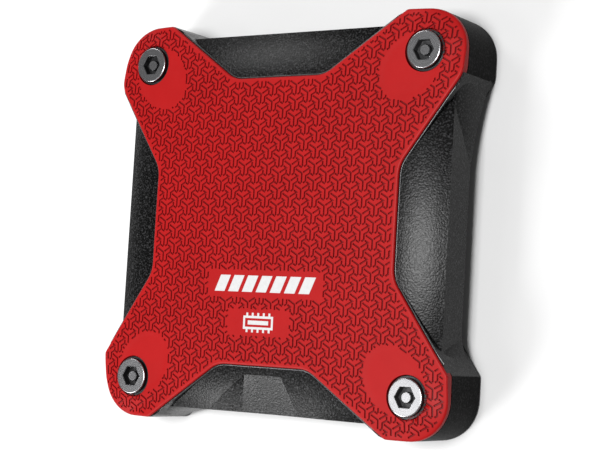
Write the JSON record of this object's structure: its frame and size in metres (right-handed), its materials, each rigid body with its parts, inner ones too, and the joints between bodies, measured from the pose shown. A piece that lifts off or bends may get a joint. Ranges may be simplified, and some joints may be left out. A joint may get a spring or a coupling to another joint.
{
  "type": "portable solid state drive",
  "caption": "Square pocket solid state drive with a domed, engraved X-shaped grip plate screwed over a lobed black housing, and a Micro-B style USB socket in one side.",
  "frame": {"origin": "middle of the rear face, on the surface that the drive lies on", "axes": "+Z out of the grip plate; -Y towards the USB socket; +X to the right with the plate seen from the front and the socket at the bottom"},
  "size_m": [0.08, 0.08, 0.0152],
  "materials": {
    "red_plate": "matt engraved, clear of gloss",
    "black_shell": "fine spark-eroded grain, satin",
    "screw_steel": "turned, dark nickel",
    "brass": "knurled",
    "small_steel": "zinc plated",
    "socket_steel": "formed and plated",
    "socket_insulator": "glass-filled polymer",
    "contact_gold": "gold flash",
    "board": "solder mask over glass epoxy",
    "chip_epoxy": "moulded epoxy",
    "ferrite": "pressed ferrite",
    "crystal_can": "drawn can",
    "ceramic": "fired ceramic with tinned ends",
    "resistor": "glazed film on ceramic",
    "led_body": "clear epoxy on white body",
    "guide": "clear acrylic",
    "film": "acrylic bonding film",
    "pad": "silicone gap pad",
    "label": "blank matt silver film"
  },
  "bodies": {
    "root": {"grip_plate": "red_plate", "plate_film": "film", "housing": "black_shell", "rear_cover": "black_shell", "rear_label": "label", "case_screws": "screw_steel", "threaded_inserts": "brass", "board_screws": "small_steel", "circuit_board": "board", "controller_chip": "chip_epoxy", "bridge_chip": "chip_epoxy", "firmware_chip": "chip_epoxy", "power_regulator": "chip_epoxy", "power_inductors": "ferrite", "crystals": "crystal_can", "usb_receptacle_shell": "socket_steel", "usb_receptacle_body": "socket_insulator", "usb_contacts": "contact_gold", "status_led": "led_body", "light_guide": "guide", "chip_capacitors": "ceramic", "chip_resistors": "resistor", "thermal_pad": "pad", "nand_package_1": "chip_epoxy", "nand_package_2": "chip_epoxy", "nand_package_3": "chip_epoxy", "nand_package_4": "chip_epoxy"}
  },
  "joints": []
}
